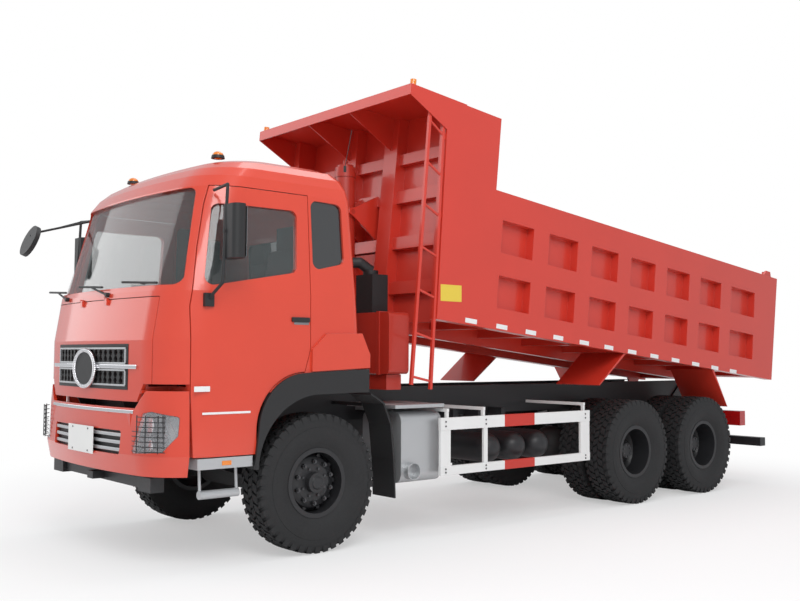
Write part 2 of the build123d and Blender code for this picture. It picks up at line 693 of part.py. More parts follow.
wheel_middle = (seat_x, behind(-800), 2060.0)
column_lean = Vector(0, 0.45, 0.893)
with BuildPart() as dashboard:
    with BuildSketch(Plane.YZ.offset(-1100)):
        with BuildLine():
            Polyline((behind(-1110), 1760), (behind(-1000), 1740), (behind(-950), 1900),
                     (behind(-990), 2040), (behind(-1110), 2070), close=True)
        make_face()
    extrude(amount=2200)
    column_foot = Vector(*wheel_middle) - column_lean * 260
    rod(tuple(column_foot - column_lean * 60), tuple(Vector(*wheel_middle) - column_lean * 30.3), 35)
    block((seat_x - 120, seat_x + 120), (behind(-1050), behind(-840)), (1790, 1880))
    for sign in (1, -1):
        block(sorted((sign * 840, sign * 870)), (behind(-1108), behind(-1040)),
              (cab_deck_z + seat_gap, 1800))
dashboard.part.label = "dashboard"
export_step(dashboard.part, "parts/dashboard.step")

with BuildPart() as steering_wheel:
    wheel_plane = Plane(origin=wheel_middle, x_dir=(1, 0, 0), z_dir=column_lean)
    with Locations(wheel_plane.location):
        Torus(225, 16)
        Cylinder(55, 60)
    for turn in (90, 210, 330):
        reach = wheel_plane.from_local_coords((222 * math.cos(math.radians(turn)),
                                               222 * math.sin(math.radians(turn)), 0))
        rod(wheel_middle, tuple(reach), 11)
steering_wheel.part.label = "steering_wheel"
export_step(steering_wheel.part, "parts/steering_wheel.step")

# Wipers on the cowl: (pivot x, how far the blade reaches towards the right)
wiper_pivots = (1010.0, 240.0, -660.0)
cowl_z = 2062.0
blade_reach = 560.0
with BuildPart() as wipers:
    for x in wiper_pivots:
        front = behind(-1408 + 80 * (x / 1000) ** 2 + (80 if abs(x) > 900 else 0))
        far = behind(-1408 + 80 * ((x - blade_reach * 0.7) / 1000) ** 2)
        blade_start = (x - 90, (front + far) / 2 - 18, cowl_z + 66)
        blade_end = (x - blade_reach, far - 12, cowl_z + 92)
        blade_middle = tuple((first + last) / 2 for first, last in zip(blade_start, blade_end))
        rod((x, front + 12, cowl_z), (x, front - 32, cowl_z + 2), 18)
        rod((x, front - 22, cowl_z), blade_middle, 8)
        rod(blade_start, blade_end, 9)
    add(outer_form, mode=Mode.SUBTRACT)
wipers.part.label = "wipers"
export_step(wipers.part, "parts/wipers.step")

# Mirrors on the doors, with the look-down mirror on the right side
mirror_y = behind(-960)
for name, sign in sides:
    with BuildPart() as mirror_set:
        with Locations((sign * 1400, mirror_y, 2500)):
            Box(200, 110, 400)
        fillet(edges().filter_by(Axis.Z), 45)
        path = ((1140, behind(-985), 2836), (1365, mirror_y - 40, 2850), (1365, mirror_y - 70, 2120),
                (1222, behind(-1060), 2010))
        path = tuple((sign * x, y, z) for x, y, z in path)
        for start, end in zip(path, path[1:]):
            rod(start, end, 12)
        for corner in path[1:3]:
            with Locations(corner):
                Sphere(12)
        rod((sign * 1365, mirror_y - 70, 2500), (sign * 1365, mirror_y, 2500), 14)
        block(sorted((sign * 1198, sign * 1232)), (behind(-1095), behind(-1020)), (1950, 2050))
        if sign < 0:
            rod(path[0], (-1345, behind(-1390), 2720), 10)
            rod((-1345, behind(-1390), 2720), (-1400, behind(-1460), 2680), 10)
            rod((-1300, behind(-1280), 2751), path[1], 8)
            rod((-1400, behind(-1478), 2640), (-1400, behind(-1440), 2625), 150)
        # Foot faces on the door's own skin
        add(outer_form, mode=Mode.SUBTRACT)
    mirror_set.part.label = f"mirror_{name}"
    export_step(mirror_set.part, f"parts/mirror_{name}.step")

# Side equipment of the frame
with BuildPart() as muffler:
    with BuildSketch(across(880)):
        with Locations((880, 790)):
            RectangleRounded(540, 620, 90)
    extrude(amount=-470)
    rod((1100, behind(977), 588), (1215, behind(977), 588), 75)
    rod((1150, behind(977), 588), (1216, behind(977), 588), 68, mode=Mode.SUBTRACT)
    block((500, 1188), (behind(780), behind(1355)), (1135, 1165))
    for back in (960, 1270):
        block((rail_outer_x + seat_gap, 760), (behind(back - 25), behind(back + 25)), (1090, 1140))
muffler.part.label = "muffler"
export_step(muffler.part, "parts/muffler.step")

tank_backs = (2040.0, 2390.0, 2730.0)
with BuildPart() as air_tanks:
    for back in tank_backs:
        rod((560, behind(back), 720), (1040, behind(back), 720), 140)
        with Locations((1040, behind(back), 720)):
            Sphere(139)
        block((rail_outer_x + seat_gap, 620), (behind(back - 30), behind(back + 30)), (820, rail_bottom_z + 60))
    block((560, 640), (behind(tank_backs[0]), behind(tank_backs[-1])), (800, 850))
air_tanks.part.label = "air_tanks"
export_step(air_tanks.part, "parts/air_tanks.step")

with BuildPart() as fuel_tank:
    with BuildSketch(across(1330)):
        with Locations((-800, 790)):
            RectangleRounded(620, 560, 110)
    extrude(amount=-1250)
    for back in (1560, 2330):
        block((-600, -rail_outer_x - seat_gap), (behind(back - 30), behind(back + 30)), (1030, 1110))
        block((-1112, -488), (behind(back - 30), behind(back + 30)), (504, 1076))
fuel_tank.part.label = "fuel_tank"
export_step(fuel_tank.part, "parts/fuel_tank.step")

guard_front_back = 1388.0
guard_rear_back = 3362.0
with BuildPart() as side_guards:
    for sign in (1, -1):
        for low, high in ((930, 1040), (530, 610)):
            block(sorted((sign * 1213, sign * 1243)), (behind(guard_front_back - 125), behind(guard_rear_back)),
                  (low, high))
        for low, high in ((guard_front_back - 124, guard_front_back), (1812, 1862),
                          (guard_rear_back - 145, guard_rear_back - 2)):
            block(sorted((sign * 1216, sign * 1240)), (behind(low), behind(high)), (531, 1039))
        for back in (1373, 1837, 3300):
            block(sorted((sign * (rail_outer_x + seat_gap), sign * 1220)),
                  (behind(back - 14), behind(back + 14)), (1090, 1120))
            block(sorted((sign * 1188, sign * 1216)), (behind(back - 14), behind(back + 14)), (960, 1120))
side_guards.part.label = "side_guards"
export_step(side_guards.part, "parts/side_guards.step")

with BuildPart() as hydraulic_tank:
    with BuildSketch(across(820)):
        with Locations((650, 1705)):
            RectangleRounded(800, 550, 40)
    extrude(amount=-230)
    for x in (390, 900):
        block((x - 20, x + 20), (behind(812), behind(1058)), (1422, 1988))
    block((300, 980), (behind(850), behind(1020)), (rail_top_z + seat_gap, 1425))
hydraulic_tank.part.label = "hydraulic_tank"
export_step(hydraulic_tank.part, "parts/hydraulic_tank.step")

with BuildPart() as air_intake:
    block((560, 800), (behind(830), behind(1010)), (1980 + seat_gap, 2330))
    with BuildSketch(Plane.XY.offset(2330)):
        with Locations((680, behind(905))):
            Circle(70)
    extrude(amount=40)
    arc = ((680, behind(905), 2370), (650, behind(800), 2440), (560, behind(650), 2430),
           (440, behind(600), 2300), (380, behind(600), 1900), (250, behind(520), 1500))
    for start, end in zip(arc, arc[1:]):
        rod(start, end, 48)
        with Locations(end):
            Sphere(48)
    rod((250, behind(520), 1500), (250, behind(400), 1467), 48)
    with BuildSketch(Plane.YZ.offset(150)):
        Polygon((behind(300), 1621), (behind(450.5), 1621), (behind(521), 1240), (behind(300), 1240),
                align=None)
    extrude(amount=200, mode=Mode.SUBTRACT)
air_intake.part.label = "air_intake"
export_step(air_intake.part, "parts/air_intake.step")

with BuildPart() as mudguards:
    for sign in (1, -1):
        with BuildSketch(Plane.YZ.offset(sign * 870)):
            with BuildLine():
                Polyline((behind(520), 1262), (behind(660), 1180), (behind(740), 1000), (behind(775), 700),
                         (behind(790), 370), (behind(805), 370), (behind(790), 700), (behind(755), 1005),
                         (behind(672), 1192), (behind(526), 1275), close=True)
            make_face()
        extrude(amount=sign * 300)
        block(sorted((sign * (rail_outer_x + seat_gap), sign * 880)), (behind(655), behind(685)),
              (1150, 1180))
mudguards.part.label = "mudguards"
export_step(mudguards.part, "parts/mudguards.step")

with BuildPart() as steps:
    for sign in (1, -1):
        block(sorted((sign * 940, sign * 1222)), (behind(-1132), behind(-666)), (752, 832))
        rod((sign * 1150, behind(-1080), 560), (sign * 1150, behind(-750), 560), 32)
        for back in (-1070, -760):
            rod((sign * 1150, behind(back), 560), (sign * 1130, behind(back), 760), 11)
        for back in (-985, -900):
            with BuildSketch(across(back)):
                Polygon((sign * (rail_outer_x + seat_gap), 1090), (sign * (rail_outer_x + seat_gap), 1010),
                        (sign * 700, 755), (sign * 950, 755), (sign * 950, 800), (sign * 740, 800), align=None)
            extrude(amount=-14)
steps.part.label = "steps"
export_step(steps.part, "parts/steps.step")

with BuildPart() as rear_underrun:
    block((-1180, 1180), (behind(6880), behind(7000)), (465, 570))
    for sign in (1, -1):
        with BuildSketch(Plane.YZ.offset(sign * (rail_outer_x + 10 + seat_gap))):
            with BuildLine():
                Polyline((behind(5950), rail_bottom_z + 20), (behind(6200), rail_top_z - 60),
                         (behind(6950), 570), (behind(6950), 470), (behind(6850), 470),
                         (behind(6350), 800), close=True)
            make_face()
        extrude(amount=10, both=True)
rear_underrun.part.label = "rear_underrun"
export_step(rear_underrun.part, "parts/rear_underrun.step")

with BuildPart() as tail_lamps:
    for sign in (1, -1):
        block(sorted((sign * 700, sign * 1140)), (behind(6470), behind(6590)), (740, 920))
        block(sorted((sign * (rail_outer_x + 20 + 2 * seat_gap), sign * 720)), (behind(6440), behind(6475)),
              (780, 850))
tail_lamps.part.label = "tail_lamps"
export_step(tail_lamps.part, "parts/tail_lamps.step")

# Bed: one welded body, drawn lowered and carried up to its parked tilt
bed_inner_x = bed_half_width - 100
bed_skin_x = bed_half_width - bed_frame_depth
bed_wall_back = 1325.0
bed_floor_rear_back = 6940.0
# Horizontal bands of the side wall as (low, high) of each recess
recess_bands = ((1590.0, 1900.0), (2120.0, 2435.0))
wall_bands = ((2930.0, 3040.0), (2545.0, 2670.0), (2090.0, 2210.0), (1650.0, 1770.0))
gate_hinge = (7020.0, 2745.0)
gate_pin_radius = 20.0
well_half_width = 150.0
well_top_back = 1258.0
well_top_z = 2070.0
well_low_back = 1545.0
well_low_z = 1340.0
well_wall_z = well_top_z - (1330 - well_top_back) * (well_top_z - well_low_z) / (well_low_back - well_top_back)
hoist_pin = (0.0, behind(hoist_back), hoist_pin_z)
pin_lowered = bed_lift.inverse() * Location(hoist_pin)
pin_y = pin_lowered.position.Y
pin_z = pin_lowered.position.Z
with BuildPart(raised(Plane.XY)) as bed:
    for sign in (1, -1):
        # Side wall with its tall front part
        with BuildSketch(raised(Plane.YZ.offset(sign * bed_inner_x))):
            Polygon((behind(bed_front_back), bed_low_z), (behind(bed_front_back - 70), head_top_z),
                    (behind(head_panel_rear_back), head_top_z), (behind(head_panel_rear_back), bed_top_z),
                    (behind(bed_rear_back + 50), bed_top_z), (behind(bed_rear_back), bed_low_z), align=None)
        extrude(amount=sign * (bed_half_width - bed_inner_x))
        # Recesses between the posts
        for low, high in recess_bands:
            first = behind(bay_first_back + 120 + bay_width / 2)
            spots = [(sign * (bed_skin_x + 50), first + number * bay_pitch, (low + high) / 2)
                     for number in range(bay_count - 1)]
            with Locations(*spots):
                Box(100, bay_width, high - low, mode=Mode.SUBTRACT)
            start = bay_first_back + 120 + (bay_count - 1) * bay_pitch
            block(sorted((sign * bed_skin_x, sign * (bed_skin_x + 100))),
                  (behind(start), behind(start + last_bay_width)), (low, high), mode=Mode.SUBTRACT)
        # Hollow of the two long rails
        for low, high in ((bed_low_z + 12, bed_low_z + bed_rail_low - 12),
                          (bed_top_z - bed_rail_top + 12, bed_top_z - 12)):
            block(sorted((sign * (bed_inner_x + 12), sign * (bed_half_width - 12))),
                  (behind(head_panel_rear_back), behind(bed_rear_back - 30)), (low, high),
                  mode=Mode.SUBTRACT)
        # Canopy side
        with BuildSketch(raised(Plane.YZ.offset(sign * (bed_half_width - 8)))):
            Polygon((behind(canopy_front_back), head_top_z), (behind(canopy_front_back), head_top_z - 90),
                    (behind(1120), 3110), (behind(1160), 3110), (behind(1160), head_top_z), align=None)
        extrude(amount=sign * 8)
        # Sill over the frame's rail, and the hinge lug below its rear end
        block(sorted((sign * 352, sign * 428)), (behind(1325), behind(6600)), (1300, bed_floor_z))
        with BuildSketch(raised(Plane.YZ.offset(sign * 370))):
            Polygon((behind(6220), 1310), (behind(6290), 1180), (behind(6320), 1150), (behind(6380), 1150),
                    (behind(6410), 1180), (behind(6480), 1310), align=None)
        extrude(amount=sign * 20)
        rod((sign * 360, hinge_y, hinge_z), (sign * 400, hinge_y, hinge_z), hinge_pin_radius + 0.05,
            mode=Mode.SUBTRACT)
        # Cross bearers
        bearer_z = (bed_low_z + bed_floor_z) / 2
        bearer_x = (428 + bed_inner_x) / 2
        with Locations(*((sign * bearer_x, behind(bay_first_back + 50 + number * bay_pitch), bearer_z)
                         for number in range(bay_count + 1))):
            Box(bed_inner_x - 428, 70, bed_floor_z - bed_low_z)
        # Ribs of the front wall, and the cheeks that hold the hoist
        block(sorted((sign * 230, sign * 430)), (behind(1205), behind(bed_wall_back)),
              (bed_low_z, head_top_z))
        with BuildSketch(raised(Plane.YZ.offset(sign * 115))):
            Polygon((behind(bed_wall_back), pin_z - 260), (behind(bed_wall_back), pin_z + 260),
                    (pin_y + 20, pin_z + 50), (pin_y - 50, pin_z + 20), (pin_y - 50, pin_z - 20),
                    (pin_y + 20, pin_z - 50), align=None)
        extrude(amount=sign * 20)
        rod((sign * 110, pin_y, pin_z), (sign * 140, pin_y, pin_z), 25.05, mode=Mode.SUBTRACT)
        with BuildSketch(raised(Plane.YZ.offset(sign * 330))):
            Polygon((behind(1210), head_top_z), (behind(1210), 3080), (behind(canopy_front_back), 3325),
                    (behind(canopy_front_back), head_top_z), align=None)
        extrude(amount=sign * 10)
        # Lug and pin at the tailgate's hinge
        with BuildSketch(raised(Plane.YZ.offset(sign * bed_inner_x))):
            Polygon((behind(6900), bed_top_z), (behind(6970), bed_top_z + 90), (behind(7070), bed_top_z + 90),
                    (behind(7100), bed_top_z), align=None)
        extrude(amount=sign * 24)
        rod((sign * 1090, behind(gate_hinge[0]), gate_hinge[1]),
            (sign * (bed_inner_x + 1), behind(gate_hinge[0]), gate_hinge[1]), gate_pin_radius)
    # Floor, front wall and canopy
    block((-bed_inner_x, bed_inner_x), (behind(bed_wall_back), behind(bed_floor_rear_back)),
          (bed_floor_z, bed_floor_z + 12))
    block((-bed_inner_x, bed_inner_x), (behind(bed_wall_back), behind(bed_wall_back + 10)),
          (bed_low_z, head_top_z))
    for low, high in wall_bands:
        block((-bed_inner_x, bed_inner_x), (behind(1250), behind(bed_wall_back)), (low, high))
    block((-bed_half_width, bed_half_width), (behind(canopy_front_back), behind(bed_wall_back + 10)),
          (head_top_z, head_top_z + 8))
    block((-bed_half_width, bed_half_width), (behind(canopy_front_back), behind(canopy_front_back + 10)),
          (head_top_z - 90, head_top_z + 8))
    block((-428, 428), (behind(6480), behind(6600)), (1320, bed_floor_z))
    # Slanted recess of the front wall, for the hoist when the bed is high
    with BuildSketch(raised(Plane.YZ.offset(-well_half_width))):
        Polygon((behind(1190), well_top_z), (behind(well_top_back), well_top_z),
                (behind(well_low_back), well_low_z), (behind(1190), well_low_z), align=None)
    extrude(amount=2 * well_half_width, mode=Mode.SUBTRACT)
    with BuildSketch(raised(Plane.YZ.offset(-well_half_width - 12))):
        Polygon((behind(well_top_back), well_top_z), (behind(well_top_back + 13), well_top_z + 4),
                (behind(well_low_back + 13), well_low_z + 4), (behind(well_low_back), well_low_z),
                align=None)
    extrude(amount=2 * well_half_width + 24)
    for sign in (1, -1):
        for outline in ([(well_top_back, well_top_z), (1330, well_top_z), (1330, well_wall_z)],
                        [(1330, well_wall_z), (1330, well_low_z), (well_low_back, well_low_z)]):
            with BuildSketch(raised(Plane.YZ.offset(sign * well_half_width))):
                Polygon(*[(behind(back), z) for back, z in outline], align=None)
            extrude(amount=sign * 12)
bed.part.label = "bed"
export_step(bed.part, "parts/bed.step")

# Ladder at the bed's left front corner
ladder_front = ((907.0, 3232.0), (950.0, 773.0))
ladder_rear = ((1080.0, 3130.0), (1180.0, 753.0))
rung_count = 7


def between(line, share):
    """Point that far down a rail of the ladder."""
    return tuple(top + (low - top) * share for top, low in zip(*line))


with BuildPart(raised(Plane.XY)) as ladder:
    for line in (ladder_front, ladder_rear):
        with BuildSketch(raised(Plane.YZ.offset(1200))):
            Polygon(*((behind(back + side), z) for (back, z), side in
                      ((line[0], -14), (line[0], 14), (line[1], 14), (line[1], -14))), align=None)
        extrude(amount=28)
    for number in range(rung_count):
        share = 0.03 + number * 0.94 / (rung_count - 1)
        front_end = between(ladder_front, share)
        rear_end = between(ladder_rear, share)
        rod((1214, behind(front_end[0]), front_end[1]), (1214, behind(rear_end[0]), rear_end[1]), 11)
    for z in (1450, 2300, 3020):
        low_edge = bed_front_back - 70 * (z - bed_low_z) / (head_top_z - bed_low_z)
        high_edge = bed_front_back - 70 * (z + 60 - bed_low_z) / (head_top_z - bed_low_z)
        share = (3130 - z - 60) / (3130 - 753)
        rail_back = between(ladder_rear, share)[0]
        with BuildSketch(raised(Plane.YZ.offset(1204))):
            Polygon((behind(rail_back - 8), z), (behind(low_edge - seat_gap), z),
                    (behind(high_edge - seat_gap), z + 60), (behind(rail_back - 8), z + 60), align=None)
        extrude(amount=20)
ladder.part.label = "ladder"
export_step(ladder.part, "parts/ladder.step")

# Splash plates that hang below the bed before and behind the rear wheels
with BuildPart(raised(Plane.XY)) as splash_plates:
    for sign in (1, -1):
        for top_back, low_back, low_z in ((3950, 3555, 1004), (5690, 6060, 968)):
            with BuildSketch(raised(Plane.YZ.offset(sign * 640))):
                Polygon((behind(top_back), bed_low_z - seat_gap), (behind(low_back), low_z),
                        (behind(low_back + 10), low_z - 6), (behind(top_back + 40), bed_low_z - seat_gap),
                        align=None)
            extrude(amount=sign * 580)
splash_plates.part.label = "splash_plates"
export_step(splash_plates.part, "parts/splash_plates.step")

with BuildPart(raised(Plane.XY)) as tailgate:
    gate_x = bed_inner_x - 10
    block((-gate_x, gate_x), (behind(6955), behind(6965)), (1400, bed_top_z))
    for low, high in ((1400, 1520), (2000, 2110), (2580, bed_top_z)):
        block((-gate_x, gate_x), (behind(6955), behind(7045)), (low, high))
    for x in (-1090, -545, 0, 545, 1090):
        block((x - 40, x + 40), (behind(6955), behind(7045)), (1400, bed_top_z))
    for sign in (1, -1):
        block(sorted((sign * 1095, sign * 1119)), (behind(gate_hinge[0] - 40), behind(gate_hinge[0] + 25)),
              (2600, gate_hinge[1] + 40))
        rod((sign * 1080, behind(gate_hinge[0]), gate_hinge[1]), (sign * 1139, behind(gate_hinge[0]), gate_hinge[1]),
            gate_pin_radius + 0.05, mode=Mode.SUBTRACT)
tailgate.part.label = "tailgate"
export_step(tailgate.part, "parts/tailgate.step")

# Hoist: cover tube that swings on the bed, and three stages that slide out below it
# Stages as (number, outer radius, top z, low z)
stages = ((1, 89.0, 3137.0, 1337.0), (2, 78.0, 2904.0, 1124.0), (3, 67.0, 2710.0, 880.0))
hoist_y = behind(hoist_back)
with BuildPart() as hoist_cover:
    rod((0, hoist_y, 1550), (0, hoist_y, hoist_top_z), hoist_radius)
    rod((0, hoist_y, hoist_top_z), (0, hoist_y, hoist_top_z + 22), hoist_radius - 18)
    rod((0, hoist_y, hoist_top_z), (0, hoist_y, hoist_top_z + 70), 22)
    for z in (1550, 2330, 3350):
        rod((0, hoist_y, z), (0, hoist_y, z + 50), hoist_radius + 7)
    rod((-135, hoist_y, hoist_pin_z), (135, hoist_y, hoist_pin_z), 25)
    rod((-114, hoist_y, hoist_pin_z), (114, hoist_y, hoist_pin_z), 50)
    rod((0, hoist_y, 1549), (0, hoist_y, hoist_top_z - 10), hoist_radius - tube_wall, mode=Mode.SUBTRACT)
hoist_cover.part.label = "hoist_cover"
export_step(hoist_cover.part, "parts/hoist_cover.step")

for number, radius, top_z, low_z in stages:
    with BuildPart() as stage:
        rod((0, hoist_y, low_z), (0, hoist_y, top_z), radius)
        if number == 3:
            rod((-60, hoist_y, hoist_foot_z), (60, hoist_y, hoist_foot_z), 55)
            rod((0, hoist_y, low_z + 60), (0, hoist_y, top_z + 1), radius - tube_wall, mode=Mode.SUBTRACT)
            rod((-61, hoist_y, hoist_foot_z), (61, hoist_y, hoist_foot_z), 30.05, mode=Mode.SUBTRACT)
        else:
            rod((0, hoist_y, low_z - 1), (0, hoist_y, top_z + 1), radius - tube_wall, mode=Mode.SUBTRACT)
    stage.part.label = f"hoist_stage_{number}"
    export_step(stage.part, f"parts/hoist_stage_{number}.step")
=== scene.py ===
"""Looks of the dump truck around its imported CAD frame: materials, fine trim, light and camera."""

import json
import math

import bmesh
import bpy
from mathutils import Matrix, Quaternion, Vector


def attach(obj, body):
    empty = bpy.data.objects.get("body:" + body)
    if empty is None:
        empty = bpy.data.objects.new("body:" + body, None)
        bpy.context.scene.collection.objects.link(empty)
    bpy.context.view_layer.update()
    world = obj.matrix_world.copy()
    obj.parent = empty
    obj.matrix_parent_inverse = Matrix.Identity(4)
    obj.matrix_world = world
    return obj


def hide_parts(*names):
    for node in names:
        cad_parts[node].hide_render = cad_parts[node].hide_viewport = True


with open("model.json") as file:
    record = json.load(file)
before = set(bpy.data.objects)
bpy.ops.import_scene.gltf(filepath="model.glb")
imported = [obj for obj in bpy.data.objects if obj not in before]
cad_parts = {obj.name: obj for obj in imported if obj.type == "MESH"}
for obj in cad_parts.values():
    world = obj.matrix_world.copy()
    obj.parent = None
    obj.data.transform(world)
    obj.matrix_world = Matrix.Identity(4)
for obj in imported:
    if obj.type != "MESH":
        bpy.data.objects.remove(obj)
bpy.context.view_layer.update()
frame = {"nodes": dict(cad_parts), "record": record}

# Driving values, in metres and in the frame of the record
FRONT_AXLE_Y = -2.885
TYRE_RADIUS = 0.562


def behind(distance):
    """Y of a place that far behind the front axle."""
    return FRONT_AXLE_Y + distance


# Materials
def new_material(name):
    """Material with its Principled shader."""
    material = bpy.data.materials.new(name)
    material.use_nodes = True
    return material, material.node_tree.nodes, material.node_tree.links


def principled(name, colour, roughness, metallic=0.0, coat=0.0, grain=0.0, grain_scale=60.0,
               spread=0.0, spread_scale=3.0, bump=0.0, round_edges=0.0):
    """Plain surface with slight variation of its roughness and colour, and softened edges."""
    material, nodes, links = new_material(name)
    shader = nodes["Principled BSDF"]
    shader.inputs["Base Color"].default_value = (*colour, 1)
    shader.inputs["Roughness"].default_value = roughness
    shader.inputs["Metallic"].default_value = metallic
    shader.inputs["Coat Weight"].default_value = coat
    shader.inputs["Coat Roughness"].default_value = 0.08
    place = nodes.new("ShaderNodeTexCoord")
    if grain:
        noise = nodes.new("ShaderNodeTexNoise")
        noise.inputs["Scale"].default_value = grain_scale
        noise.inputs["Detail"].default_value = 4
        links.new(place.outputs["Object"], noise.inputs["Vector"])
        ramp = nodes.new("ShaderNodeMapRange")
        ramp.inputs["To Min"].default_value = max(0.02, roughness - grain)
        ramp.inputs["To Max"].default_value = roughness + grain
        links.new(noise.outputs["Fac"], ramp.inputs["Value"])
        links.new(ramp.outputs["Result"], shader.inputs["Roughness"])
    if spread:
        broad = nodes.new("ShaderNodeTexNoise")
        broad.inputs["Scale"].default_value = spread_scale
        broad.inputs["Detail"].default_value = 3
        links.new(place.outputs["Object"], broad.inputs["Vector"])
        mix = nodes.new("ShaderNodeMix")
        mix.data_type = "RGBA"
        mix.inputs["A"].default_value = (*(c * (1 - spread) for c in colour), 1)
        mix.inputs["B"].default_value = (*(min(1, c * (1 + spread)) for c in colour), 1)
        links.new(broad.outputs["Fac"], mix.inputs["Factor"])
        links.new(mix.outputs["Result"], shader.inputs["Base Color"])
    normal = None
    if round_edges:
        bevel = nodes.new("ShaderNodeBevel")
        bevel.inputs["Radius"].default_value = round_edges
        bevel.samples = 4
        normal = bevel.outputs["Normal"]
    if bump:
        fine = nodes.new("ShaderNodeTexNoise")
        fine.inputs["Scale"].default_value = 400
        links.new(place.outputs["Object"], fine.inputs["Vector"])
        relief = nodes.new("ShaderNodeBump")
        relief.inputs["Strength"].default_value = bump
        relief.inputs["Distance"].default_value = 0.001
        links.new(fine.outputs["Fac"], relief.inputs["Height"])
        if normal:
            links.new(normal, relief.inputs["Normal"])
        normal = relief.outputs["Normal"]
    if normal:
        links.new(normal, shader.inputs["Normal"])
    return material


def glass(name, colour, alpha, roughness=0.03):
    """Thin clear sheet."""
    material, nodes, links = new_material(name)
    shader = nodes["Principled BSDF"]
    shader.inputs["Base Color"].default_value = (*colour, 1)
    shader.inputs["Roughness"].default_value = roughness
    shader.inputs["Alpha"].default_value = alpha
    shader.inputs["Specular IOR Level"].default_value = 1.0
    shader.inputs["Coat Weight"].default_value = 1.0
    shader.inputs["Coat Roughness"].default_value = 0.01
    return material


MATERIALS = {
    "cab_paint": principled("cab_paint", (0.66, 0.050, 0.020), 0.30, coat=0.7, grain=0.04, spread=0.04,
                            round_edges=0.006),
    "bed_paint": principled("bed_paint", (0.62, 0.040, 0.022), 0.34, coat=0.4, grain=0.06, spread=0.06,
                            spread_scale=1.5, round_edges=0.005),
    "frame_black": principled("frame_black", (0.018, 0.018, 0.020), 0.45, grain=0.08, round_edges=0.003),
    "wheel_black": principled("wheel_black", (0.020, 0.020, 0.022), 0.42, grain=0.06, round_edges=0.003),
    "trim_black": principled("trim_black", (0.016, 0.016, 0.017), 0.55, grain=0.05, bump=0.15,
                             round_edges=0.004),
    "chrome_trim": principled("chrome_trim", (0.78, 0.78, 0.80), 0.12, metallic=1.0, grain=0.03),
    "tyre_rubber": principled("tyre_rubber", (0.016, 0.016, 0.017), 0.75, grain=0.10, spread=0.15,
                              spread_scale=8.0, bump=0.2),
    "glazing": glass("glazing", (0.10, 0.12, 0.12), 0.28),
    "dark_glazing": glass("dark_glazing", (0.010, 0.011, 0.012), 0.94),
    "lamp_glass": glass("lamp_glass", (0.80, 0.82, 0.85), 0.28),
    "tail_lamp_red": principled("tail_lamp_red", (0.45, 0.008, 0.008), 0.15, coat=0.8),
    "silver_paint": principled("silver_paint", (0.50, 0.51, 0.52), 0.38, metallic=0.6, grain=0.08,
                               round_edges=0.004),
    "tank_aluminium": principled("tank_aluminium", (0.60, 0.61, 0.62), 0.33, metallic=1.0, grain=0.10,
                                 round_edges=0.003),
    "guard_white": principled("guard_white", (0.78, 0.78, 0.77), 0.40, grain=0.05, spread=0.03,
                              round_edges=0.003),
    "seat_fabric": principled("seat_fabric", (0.075, 0.078, 0.085), 0.92, spread=0.20, spread_scale=90.0,
                              bump=0.5),
    "dash_plastic": principled("dash_plastic", (0.10, 0.10, 0.105), 0.60, grain=0.05, bump=0.2,
                               round_edges=0.004),
    "cast_black": principled("cast_black", (0.030, 0.030, 0.031), 0.65, grain=0.10, bump=0.3,
                             round_edges=0.004),
    "hoist_steel": principled("hoist_steel", (0.45, 0.030, 0.016), 0.38, coat=0.3, grain=0.06,
                              round_edges=0.004),
    "rod_steel": principled("rod_steel", (0.66, 0.67, 0.68), 0.16, metallic=1.0, grain=0.04),
    "mirror_face": principled("mirror_face", (0.80, 0.82, 0.84), 0.02, metallic=1.0),
    "amber": principled("amber", (0.80, 0.22, 0.01), 0.15, coat=0.8),
    "red_band": principled("red_band", (0.55, 0.030, 0.018), 0.35, grain=0.05),
    "patch_white": principled("patch_white", (0.80, 0.80, 0.80), 0.30, coat=0.5),
    "patch_yellow": principled("patch_yellow", (0.75, 0.55, 0.05), 0.35, coat=0.4),
    "dark_steel": principled("dark_steel", (0.10, 0.10, 0.105), 0.40, metallic=0.9, grain=0.08),
    "inner_grey": principled("inner_grey", (0.22, 0.22, 0.23), 0.8, grain=0.05),
    "plate_blank": principled("plate_blank", (0.82, 0.82, 0.80), 0.45),
}
NODE_LOOKS = {row["node"]: row["material_slot"] for row in frame["record"]["subparts"]}
NODE_LOOKS.update(cab_windows="dark_glazing", front_underrun="frame_black", rear_underrun="frame_black")
for node, item in frame["nodes"].items():
    item.data.materials.clear()
    item.data.materials.append(MATERIALS[NODE_LOOKS[node]])
    for face in item.data.polygons:
        face.use_smooth = False


# Makers of pieces
def finish_piece(name, mesh, look, body, bevel=0.0, smooth=False):
    """Object from a bmesh, riding on a body."""
    data = bpy.data.meshes.new(name)
    bmesh.ops.recalc_face_normals(mesh, faces=mesh.faces)
    mesh.to_mesh(data)
    mesh.free()
    piece = bpy.data.objects.new(name, data)
    bpy.context.scene.collection.objects.link(piece)
    data.materials.append(MATERIALS[look])
    for face in data.polygons:
        face.use_smooth = smooth
    if bevel:
        edge = piece.modifiers.new("edge", "BEVEL")
        edge.width = bevel
        edge.segments = 2
        edge.limit_method = "ANGLE"
        edge.angle_limit = math.radians(40)
    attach(piece, body)
    return piece


def add_box(mesh, low, high):
    """Box between two corners."""
    low, high = Vector(map(min, low, high)), Vector(map(max, low, high))
    middle = (low + high) / 2
    made = bmesh.ops.create_cube(mesh, size=1)["verts"]
    bmesh.ops.scale(mesh, vec=high - low, verts=made)
    bmesh.ops.translate(mesh, vec=middle, verts=made)
    return made


